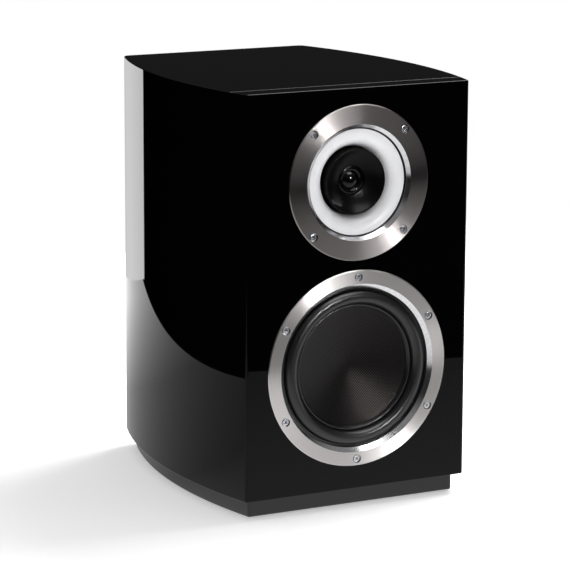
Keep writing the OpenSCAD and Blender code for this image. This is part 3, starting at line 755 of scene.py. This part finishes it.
front = [(72.9, woofer["foot"])]
front += arc(woofer["rollR"], woofer["foot"], woofer["roll"], 0, 180, 28)
front += arc(woofer["ridgeR"], woofer["foot"] + 0.4, woofer["ridge"], 0, 180, 12)
front += [(53.2, 7.3), (53.2, 7.9), (56.6, 7.2)]
front += arc(woofer["rollR"], woofer["foot"], woofer["roll"] - woofer["rubber"], 180, 0, 24)
front += [(72.9, woofer["foot"] + woofer["rubber"])]
surround = turned("wooferSurround", front, 0, wooferZ, frontY, steps=192)
smoothed(surround, 60)

profile = []
for i in range(41):
    r = woofer["coneR"] * (1 - i / 40)
    drop = woofer["dish"] * (1 - (r / woofer["coneR"]) ** woofer["power"])
    profile.append((r, woofer["coneEdge"] + drop))
profile += [(r, d + woofer["paper"]) for r, d in reversed(profile)]
dish = turned("wooferCone", profile, 0, wooferZ, frontY, steps=192)
smoothed(dish, 50)
radialMap(dish, wooferZ)
finished(dish, "woofer_moving", ["woofer_cone"], "woven_cone", cone)


def ringFlex(obj, moving, centreZ, innerR, outerR, nodes, mat):
    # The outer rim stays with the cabinet, the inner rim goes with the moving part.
    obj.data.materials.clear()
    obj.data.materials.append(mat)
    rim = Vector((outerR * mm, frontY, centreZ))
    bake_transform(obj, "cabinet", moving, rim, Vector((innerR * mm, frontY, centreZ)))
    weight = obj.data.attributes["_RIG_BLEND"]
    for i, vert in enumerate(obj.data.vertices):
        radius = math.hypot(vert.co.x, vert.co.z - centreZ) / mm
        t = min(1.0, max(0.0, (outerR - radius) / (outerR - innerR)))
        weight.data[i].value = t * t * (3 - 2 * t)
    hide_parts(*nodes)
    return obj


ringFlex(surround, "woofer_moving", wooferZ, woofer["rollR"] - woofer["roll"],
         woofer["rollR"] + woofer["roll"], ["woofer_surround"], rubber)


def spiderProfile(innerR, outerR, landR, depth, wave, turns, thick):
    # Concentric waves with a flat land on the outside.
    count = turns * 8
    front = [(innerR + (outerR - innerR) * i / count,
              depth - wave * 0.5 * (1 - math.cos(tau * turns * i / count)))
             for i in range(count + 1)]
    front.append((landR, depth))
    return front + [(r, d + thick) for r, d in reversed(front)]


spider = turned("wooferSpider", spiderProfile(19.3, 43.0, 46.3, 33.1, 1.8, 5, 0.6),
                0, wooferZ, frontY, steps=128)
smoothed(spider, 60)
ringFlex(spider, "woofer_moving", wooferZ, 20.0, 43.0, ["woofer_spider"],
         spiderCloth)


def gasket(name, node, innerR, outerR, centreZ, spots):
    seal = turned(name, eased([(innerR, 8.2, 0.4), (outerR, 8.2, 0.4), (outerR, 9.7, 0.4),
                               (innerR, 9.7, 0.4)]), 0, centreZ, frontY, steps=128)
    cutOut(seal, [rod(ringCut["holeR"] * mm, frontY, frontY + 0.02, x, z, 24)
                  for x, z in spots])
    smoothed(seal)
    finished(seal, "cabinet", [node], "black_foam", closedFoam)


gasket("wooferGasket", "woofer_gasket", 76.5, 87.1, wooferZ, wooferSpots)
print("woofer made")


upper = {"lip": upperR * 0.42, "neck": upperR * 0.42 + 1.6, "member": upperR * 0.68, "curl": 15.0,
         "crest": 3.8, "skin": 1.2, "domeR": 12.9, "capR": 8.0, "domeRise": 3.4, "opening": 13.0}
middleR, middleD = upper["neck"] - 0.2 + upper["curl"], upper["crest"] + upper["curl"]
outAngle = math.degrees(math.acos((upper["member"] - middleR) / upper["curl"]))
inAngle = math.degrees(math.acos((upper["neck"] - middleR) / upper["curl"]))
shape = arc(middleR, middleD, upper["curl"], outAngle, inAngle, 40)
shape += arc(middleR, middleD, upper["curl"] - upper["skin"], inAngle, outAngle, 30)
whiteRing = turned("midDiaphragm", shape, 0, upperZ, frontY, steps=192)
smoothed(whiteRing, 50)
finished(whiteRing, "mid_moving", ["mid_diaphragm"], "white_diaphragm", whiteSkin)

ballD = -26.1
ballR = 42.2
bowl = []
for i in range(25):
    r = 27.9 + (upper["opening"] - 27.9) * i / 24
    bowl.append((r, ballD + math.sqrt(ballR ** 2 - r ** 2)))
horn = eased([(28.7, 28.0), (28.7, 5.5, 0.35), (27.9, 5.5, 0.3)]) + bowl[1:]
horn += [(13.0, 14.8), (17.0, 14.8), (17.0, 18.0), (24.6, 18.0), (24.6, 28.0)]
waveguide = turned("tweeterWaveguide", horn, 0, upperZ, frontY, steps=192)
smoothed(waveguide, 40)
finished(waveguide, "cabinet", ["tweeter_waveguide"], "semi_gloss_black", hornBlack)

domeTop = 12.0
capR = (upper["capR"] ** 2 + upper["domeRise"] ** 2) / (2 * upper["domeRise"])
cap = [(0, domeTop)]
for i in range(1, 17):
    r = upper["capR"] * i / 16
    cap.append((r, domeTop + capR - math.sqrt(capR ** 2 - r * r)))
cap += arc((upper["capR"] + upper["domeR"]) / 2, domeTop + upper["domeRise"] + 1.6, 2.9,
           140, 40, 12)
cap += [(r, d + 0.3) for r, d in reversed(cap)]
dome = turned("tweeterDome", cap, 0, upperZ, frontY, steps=128)
smoothed(dome, 50)
finished(dome, "dome_moving", ["tweeter_dome"], "dome_lacquer", domeGloss)

midRoll = [(50.0, 6.2), (49.2, 6.2)] + arc(47.9, 6.2, 1.3, 0, 180, 12) + [(46.5, 6.6)]
midRoll += arc(47.9, 6.4, 0.9, 180, 0, 10) + [(50.0, 6.5)]
midRim = turned("midSurround", midRoll, 0, upperZ, frontY, steps=160)
smoothed(midRim, 60)
ringFlex(midRim, "mid_moving", upperZ, 46.6, 49.2, ["mid_surround"], rubber)

midCloth = turned("midSpider", spiderProfile(30.2, 38.6, 39.7, 21.5, 0.9, 3, 0.35),
                  0, upperZ, frontY, steps=128)
smoothed(midCloth, 60)
ringFlex(midCloth, "mid_moving", upperZ, 30.6, 38.6, ["mid_spider"], spiderCloth)

silkRim = [(16.9, 16.5), (15.8, 16.5)] + arc(14.6, 16.5, 1.2, 0, 180, 10)
silkRim += [(13.0, 16.3), (13.0, 16.6)]
silkRim += arc(14.6, 16.6, 1.0, 180, 0, 10) + [(15.8, 16.7), (15.3, 18.0), (16.9, 18.0)]
domeRim = turned("tweeterSurround", silkRim, 0, upperZ, frontY, steps=128)
smoothed(domeRim, 60)
ringFlex(domeRim, "dome_moving", upperZ, 13.2, 15.6, ["tweeter_surround"], silk)

gasket("upperGasket", "upper_gasket", 54.9, 67.9, upperZ, upperSpots)
print("upper unit made")

portProfile = eased([(27.5, -110, 0.8), (27.5, -10), (35, -10), (35, -2.8), (38, -2.8),
                     (38, 0, 0.9), (35, 0)])
portProfile += arc(35, -10, -10, 270, 360, 20)[1:]
portProfile += eased([(25, -60), (25, -110, 0.8), (27.5, -110)])[1:-1]
port = turned("portTube", portProfile, 0, rear["portZ"], rearY, steps=160)
smoothed(port)
finished(port, "cabinet", ["port_tube"], "black_plastic", texturedAbs)

terminal = {"width": 82, "height": 60, "thick": 3, "corner": 6, "edge": 0.7, "screwX": 35,
            "screwZ": 24, "washerIn": 3.6, "washerOut": 7.2, "flutes": 12, "fluteR": 1.3,
            "fluteAt": 8.6}
clearPick()
bpy.ops.mesh.primitive_cube_add(
    size=1, location=(0, rearY + terminal["thick"] * mm / 2, rear["postZ"]),
    scale=(terminal["width"] * mm, terminal["thick"] * mm, terminal["height"] * mm))
plate = settled(named("terminalPanel"))
pick(plate, "EDGE", lambda a, b: abs(a.y - b.y) > 0.001)
bpy.ops.mesh.bevel(offset=terminal["corner"] * mm, segments=10)
bpy.ops.object.mode_set(mode="OBJECT")
pick(plate, "FACE", lambda c, n: n.y > 0.9)
bpy.ops.mesh.inset(thickness=2.2 * mm)
bpy.ops.mesh.inset(thickness=0.5 * mm, depth=-0.5 * mm)
bpy.ops.object.mode_set(mode="OBJECT")
outerY = rearY + terminal["thick"] * mm
rimX, rimZ = ((terminal[key] / 2 - 0.1) * mm for key in ("width", "height"))
pick(plate, "EDGE", lambda a, b: min(a.y, b.y) > outerY - 1e-6 and (
    max(abs(a.x), abs(b.x)) > rimX
    or max(abs(a.z - rear["postZ"]), abs(b.z - rear["postZ"])) > rimZ))
bpy.ops.mesh.bevel(offset=terminal["edge"] * mm, segments=3)
bpy.ops.object.mode_set(mode="OBJECT")
screwSpots = [(x * terminal["screwX"] * mm, rear["postZ"] + z * terminal["screwZ"] * mm)
              for x in (-1, 1) for z in (-1, 1)]
cutOut(plate, [rod(1.7 * mm, rearY - 0.01, rearY + 0.01, x, z, 24) for x, z in screwSpots])
cutOut(plate, [rod(3.5 * mm, rearY - 0.01, rearY + 0.01, side * rear["postX"], rear["postZ"])
               for side in (-1, 1)])
smoothed(plate)
finished(plate, "cabinet", ["terminal_panel"], "black_plastic", texturedAbs)
screwSet("terminalScrews", "terminal_screws", "black_steel", blackSteel,
         [(0, 5), (2.8, 4.7, 0.6), (2.8, 2.5, 0.2), (1.25, 2.5), (1.25, -11, 0.6), (0, -11)],
         rearY, (1.3, 3.8, 9), screwSpots)

threads = [(3.45 - 0.28 * (i % 2), 5.4 + 0.5 * i) for i in range(29)]
studShape = [(3.45, -13.4), (3.45, 3), (7, 3, 0.3), (7, 5, 0.4), (3.45, 5)]
studShape = eased(studShape) + threads + [(3.0, 20), (2.4, 20), (2.05, 19.6), (2.05, 2), (0, 1.2),
                                          (0, -14), (3.0, -14)]
stud = turned("postStuds", studShape, 0, 0, rearY, steps=48)
studs = copiesAt(stud, [(side * rear["postX"], 0, rear["postZ"]) for side in (-1, 1)])
studs.name = studs.data.name = "postStuds"
smoothed(studs, 30)
finished(studs, "cabinet", ["post_studs"], "brass", brass)

for tone, side, mat in (("red", -1, redCap), ("black", 1, blackCap)):
    x = side * rear["postX"]
    ring = turned(tone + "Washer", eased([
        (terminal["washerIn"], 5.3, 0.25), (terminal["washerOut"], 5.3, 0.35),
        (terminal["washerOut"], 6.8, 0.35), (terminal["washerIn"], 6.8, 0.25)]),
        x, rear["postZ"], rearY, steps=64)
    smoothed(ring)
    finished(ring, tone + "_clamp", [tone + "_washer"], "brass", brass)
    grip = turned(tone + "Cap", eased([
        (3.5, 7.1), (7.2, 7.1, 0.3), (7.2, 8.0), (8.0, 8.0, 0.4), (8.0, 19.9, 0.7),
        (7.3, 20.3, 0.3), (7.2, 21.0, 0.5), (4.6, 21.0, 0.3), (4.2, 20.4), (3.5, 20.4, 0.2)]),
        x, rear["postZ"], rearY, steps=96)
    turns = [tau * i / terminal["flutes"] for i in range(terminal["flutes"])]
    cutOut(grip, [rod(terminal["fluteR"] * mm, rearY + 0.0085, rearY + 0.03,
                      x + terminal["fluteAt"] * mm * math.cos(a),
                      rear["postZ"] + terminal["fluteAt"] * mm * math.sin(a), 24) for a in turns])
    smoothed(grip, 35)
    finished(grip, tone + "_grip", [tone + "_cap"], tone + "_plastic", mat)
print("rear fittings made")

padLow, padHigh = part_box("damping_pads")
pad = {"thick": 12.0, "from": 20.0, "gap": 20.0, "edge": 2.5}
for name, side in (("rightDampingPad", 1), ("leftDampingPad", -1)):
    padFrom = cabinet["baffle"] + pad["from"]
    padTo = cabinet["depth"] - cabinet["wall"] - pad["gap"]
    outer = bowPoints(padFrom, padTo, cabinet["wall"] + 0.05, 40)
    inner = bowPoints(padFrom, padTo, cabinet["wall"] + pad["thick"], 40)
    outline = [(side * x, y) for x, y in outer + inner[::-1]]
    foam = slabOf(name, outline, padLow.z, padHigh.z)
    applied(foam, "BEVEL", width=pad["edge"] * mm, segments=3, limit_method="ANGLE",
            angle_limit=math.radians(40))
    smoothed(foam)
    finished(foam, "cabinet", ["damping_pads"], "grey_foam", openFoam)

# The inner works keep their CAD shapes and take a finish each.
works = {
    "window_brace": plywood, "plinth_screws": blackSteel, "woofer_basket": casting,
    "woofer_former": former, "woofer_coil": winding, "woofer_top_plate": zinc,
    "woofer_magnet": ferrite, "woofer_back_plate": zinc, "woofer_terminals": brass,
    "upper_frame": casting, "mid_coil": windingDarkenedAsShade, "mid_top_plate": zinc,
    "mid_magnet": ferrite, "mid_back_plate": zinc, "tweeter_coil": windingDarkenedAsShade,
    "tweeter_top_plate": zinc, "tweeter_pole_plate": zinc, "tweeter_magnet": nickel,
    "tweeter_cup": zinc, "rear_chamber": texturedAbs, "crossover_board": board,
    "board_standoffs": brass, "crossover_coils": choke, "crossover_capacitors": filmWrap,
    "crossover_resistors": ceramic, "inner_wires": wirePvc, "post_nuts": brass,
}
for obj in list(bpy.context.scene.objects):
    finish = works.get(obj.get("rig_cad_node"))
    if finish and obj.type == "MESH":
        if not obj.material_slots:
            obj.data.materials.append(finish)
        for place in obj.material_slots:
            place.material = finish
print("pads and inner works finished")


def emitter(name, tint, strength):
    mat = freshMaterial(name)
    glow = addNode(mat, "ShaderNodeEmission", (), {"Color": colour(tint), "Strength": strength})
    addNode(mat, "ShaderNodeOutputMaterial", [("Surface", glow, "Emission")])
    return mat


def card(name, corners, mat):
    # A reflector or flag beside the object: only polished surfaces see it.
    clearPick()
    bpy.ops.mesh.primitive_plane_add(size=1)
    obj = named(name)
    for vert, place in zip(obj.data.vertices, (corners[0], corners[1], corners[3], corners[2])):
        vert.co = place
    obj.data.materials.append(mat)
    obj.visible_camera = False
    obj.visible_diffuse = False
    obj.visible_shadow = False
    obj.visible_transmission = False
    return obj


studio = {
    "ambient": 0.62, "floorGlow": 0.34, "backdropLeft": 3.0, "backdropRight": 1.0, "edge": -0.235,
    "roomLow": 0.022, "roomHigh": 0.22, "key": 14, "front": 2.4, "snoot": 900, "fill": 30,
    "snootAngle": 4.1, "snootBlend": 0.15, "snootRadius": 0.26, "floor": 2.0, "lowSide": 1.6,
}
clearPick()
bpy.ops.mesh.primitive_plane_add(size=studio["floor"], location=(0, 0, 0))
floor = named("paperFloor")
paper = freshMaterial("paperFloor")
sheen = addNode(paper, "ShaderNodeBsdfPrincipled", (), {
    "Base Color": colour("#F4F4F4"), "Roughness": 0.9, "IOR": 1.2,
    "Emission Color": (1, 1, 1, 1), "Emission Strength": studio["floorGlow"]})
addNode(paper, "ShaderNodeOutputMaterial", [("Surface", sheen, "BSDF")])
floor.data.materials.append(paper)

flag = emitter("blackFlag", "#000000", 0.0)
# The paper card stands for the floor as polished surfaces see it. Its glow is painted in bands along Y. The
# dip to half beside the cabinet is a painted shadow of the floor in the reflections.
glow = freshMaterial("paperGlowWithPaintedShade")
spread = addNode(glow, "ShaderNodeTexCoord")
depth = addNode(glow, "ShaderNodeSeparateXYZ", [("Vector", spread, "Object")])
band = addNode(glow, "ShaderNodeMapRange", [("Value", depth, "Y")], {"From Min": -1.0})
paintedShadeLevels = [(0.15, 0.55), (0.4, 1.1), (0.43, 1.1), (0.5, 0.5), (0.68, 0.65), (0.9, 1.7)]
tone = addNode(glow, "ShaderNodeValToRGB", [("Fac", band, "Result")],
               stops=[(at, grey(level)) for at, level in paintedShadeLevels])
paperShineWithPaintedShade = addNode(glow, "ShaderNodeEmission", [("Color", tone, "Color")])
addNode(glow, "ShaderNodeOutputMaterial", [("Surface", paperShineWithPaintedShade, "Emission")])
veil = freshMaterial("backdropGlow")
where = addNode(veil, "ShaderNodeTexCoord")
across = addNode(veil, "ShaderNodeSeparateXYZ", [("Vector", where, "Object")])
fall = addNode(veil, "ShaderNodeMapRange", [("Value", across, "X")], {
    "From Min": studio["edge"], "From Max": 0.1,
    "To Min": studio["backdropLeft"], "To Max": studio["backdropRight"]})
shine = addNode(veil, "ShaderNodeEmission", [("Strength", fall, "Result")])
addNode(veil, "ShaderNodeOutputMaterial", [("Surface", shine, "Emission")])
card("paperCard", [(-3, -3, 0.0003), (3, -3, 0.0003), (3, 3, 0.0003), (-3, 3, 0.0003)], glow)
lift = 0.0006
card("frontFlag", [(-3, -1.198, lift), (3, -0.152, lift), (3, -4, lift), (-3, -4, lift)], flag)
card("sideFlag", [(0.672, 3, lift), (-1.295, -1.64, lift), (-4, -1.64, lift), (-4, 3, lift)], flag)
card("lowSideCard", [(0.36, -0.5, 0.001), (1.1, -0.5, 0.001), (1.1, -0.5, 0.12),
                     (0.36, -0.5, 0.12)], emitter("lowSideGlow", "#FFFFFF", studio["lowSide"]))
card("backdrop", [(studio["edge"], 0.906, 0.001), (2.5, 0.906, 0.001), (2.5, 0.906, 0.34),
                  (studio["edge"], 0.906, 0.34)], veil)

# The studio is white to the lens and to matt surfaces. Polished ones see a dark room with a
# pale ceiling.
world = bpy.data.worlds.new("studio")
bpy.context.scene.world = world
world.use_nodes = True
world.node_tree.nodes.clear()
rays = addNode(world, "ShaderNodeLightPath")
level = addNode(world, "ShaderNodeMapRange", [("Value", rays, "Is Camera Ray")],
                {"To Min": studio["ambient"]})
white = addNode(world, "ShaderNodeBackground", [("Strength", level, "Result")],
                {"Color": (1, 1, 1, 1)})
place = addNode(world, "ShaderNodeTexCoord")
height = addNode(world, "ShaderNodeSeparateXYZ", [("Vector", place, "Generated")])
ceiling = addNode(world, "ShaderNodeValToRGB", [("Fac", height, "Z")],
                  stops=[(0.28, grey(studio["roomLow"])), (0.55, grey(studio["roomHigh"]))])
room = addNode(world, "ShaderNodeBackground", [("Color", ceiling, "Color")])
matt = addNode(world, "ShaderNodeMath", [(0, rays, "Is Camera Ray"), (1, rays, "Is Diffuse Ray")],
               operation="MAXIMUM")
both = addNode(world, "ShaderNodeMixShader", [(0, matt, 0), (1, room, 0), (2, white, 0)])
addNode(world, "ShaderNodeOutputWorld", [("Surface", both, 0)])


def softbox(name, place, aim, width, height, power):
    light = bpy.data.lights.new(name, "AREA")
    light.shape = "RECTANGLE"
    light.size = width
    light.size_y = height
    light.energy = power
    obj = bpy.data.objects.new(name, light)
    bpy.context.scene.collection.objects.link(obj)
    obj.location = place
    obj.rotation_euler = (Vector(aim) - Vector(place)).to_track_quat("-Z", "Y").to_euler()
    return obj


key = softbox("keySoftbox", (0.3, -0.95, 1.6), (0.3, -0.949, 0), 1.0, 0.7, studio["key"])
front = softbox("frontSoftbox", (0.47, -1.9, 0.71), (0, -0.15, 0.15), 0.55, 0.45, studio["front"])
front.visible_diffuse = False

# A snooted lamp aimed at the woofer cone. Its soft edge also reaches the ring round it.
snoot = bpy.data.lights.new("coneSnoot", "SPOT")
snoot.energy = studio["snoot"]
snoot.spot_size = math.radians(studio["snootAngle"])
snoot.spot_blend = studio["snootBlend"]
snoot.shadow_soft_size = studio["snootRadius"]
lamp = bpy.data.objects.new("coneSnoot", snoot)
bpy.context.scene.collection.objects.link(lamp)
lamp.location = (0.31, -1.86, 0.62)
lampWay = Vector((0, frontY, wooferZ)) - Vector(lamp.location)
lamp.rotation_euler = lampWay.to_track_quat("-Z", "Y").to_euler()
lamp.visible_diffuse = False
softbox("fillSoftbox", (0.8, 0.2, 1.35), (0, 0, 0), 0.9, 0.9, studio["fill"])
key.visible_diffuse = False

# The camera stands to the speaker's left, a little above it, behind a long lens.
view = {"azimuth": -27.399, "elevation": 11.724, "roll": 0.241, "lens": 182.12,
        "distance": 2.50244, "right": -0.063483, "up": 0.0048506}
az, el, tilt = (math.radians(view[k]) for k in ("azimuth", "elevation", "roll"))
back = Vector((math.sin(az) * math.cos(el), -math.cos(az) * math.cos(el), math.sin(el)))
rightWay = (-back).cross(Vector((0, 0, 1))).normalized()
upWay = rightWay.cross(-back)
rightWay, upWay = (math.cos(tilt) * rightWay + math.sin(tilt) * upWay,
                   math.cos(tilt) * upWay - math.sin(tilt) * rightWay)
aim = Vector((0, frontY, (cabinetLow + cabinetTop) / 2))
spot = aim + back * view["distance"] + rightWay * view["right"] + upWay * view["up"]
lens = bpy.data.cameras.new("camera")
lens.lens = view["lens"]
lens.sensor_width = 36
lens.clip_end = 50
eye = bpy.data.objects.new("camera", lens)
bpy.context.scene.collection.objects.link(eye)
eye.matrix_world = Matrix((
    (rightWay.x, upWay.x, back.x, spot.x), (rightWay.y, upWay.y, back.y, spot.y),
    (rightWay.z, upWay.z, back.z, spot.z), (0, 0, 0, 1)))
bpy.context.scene.camera = eye
bpy.context.scene.view_settings.view_transform = "Standard"
print("studio set")
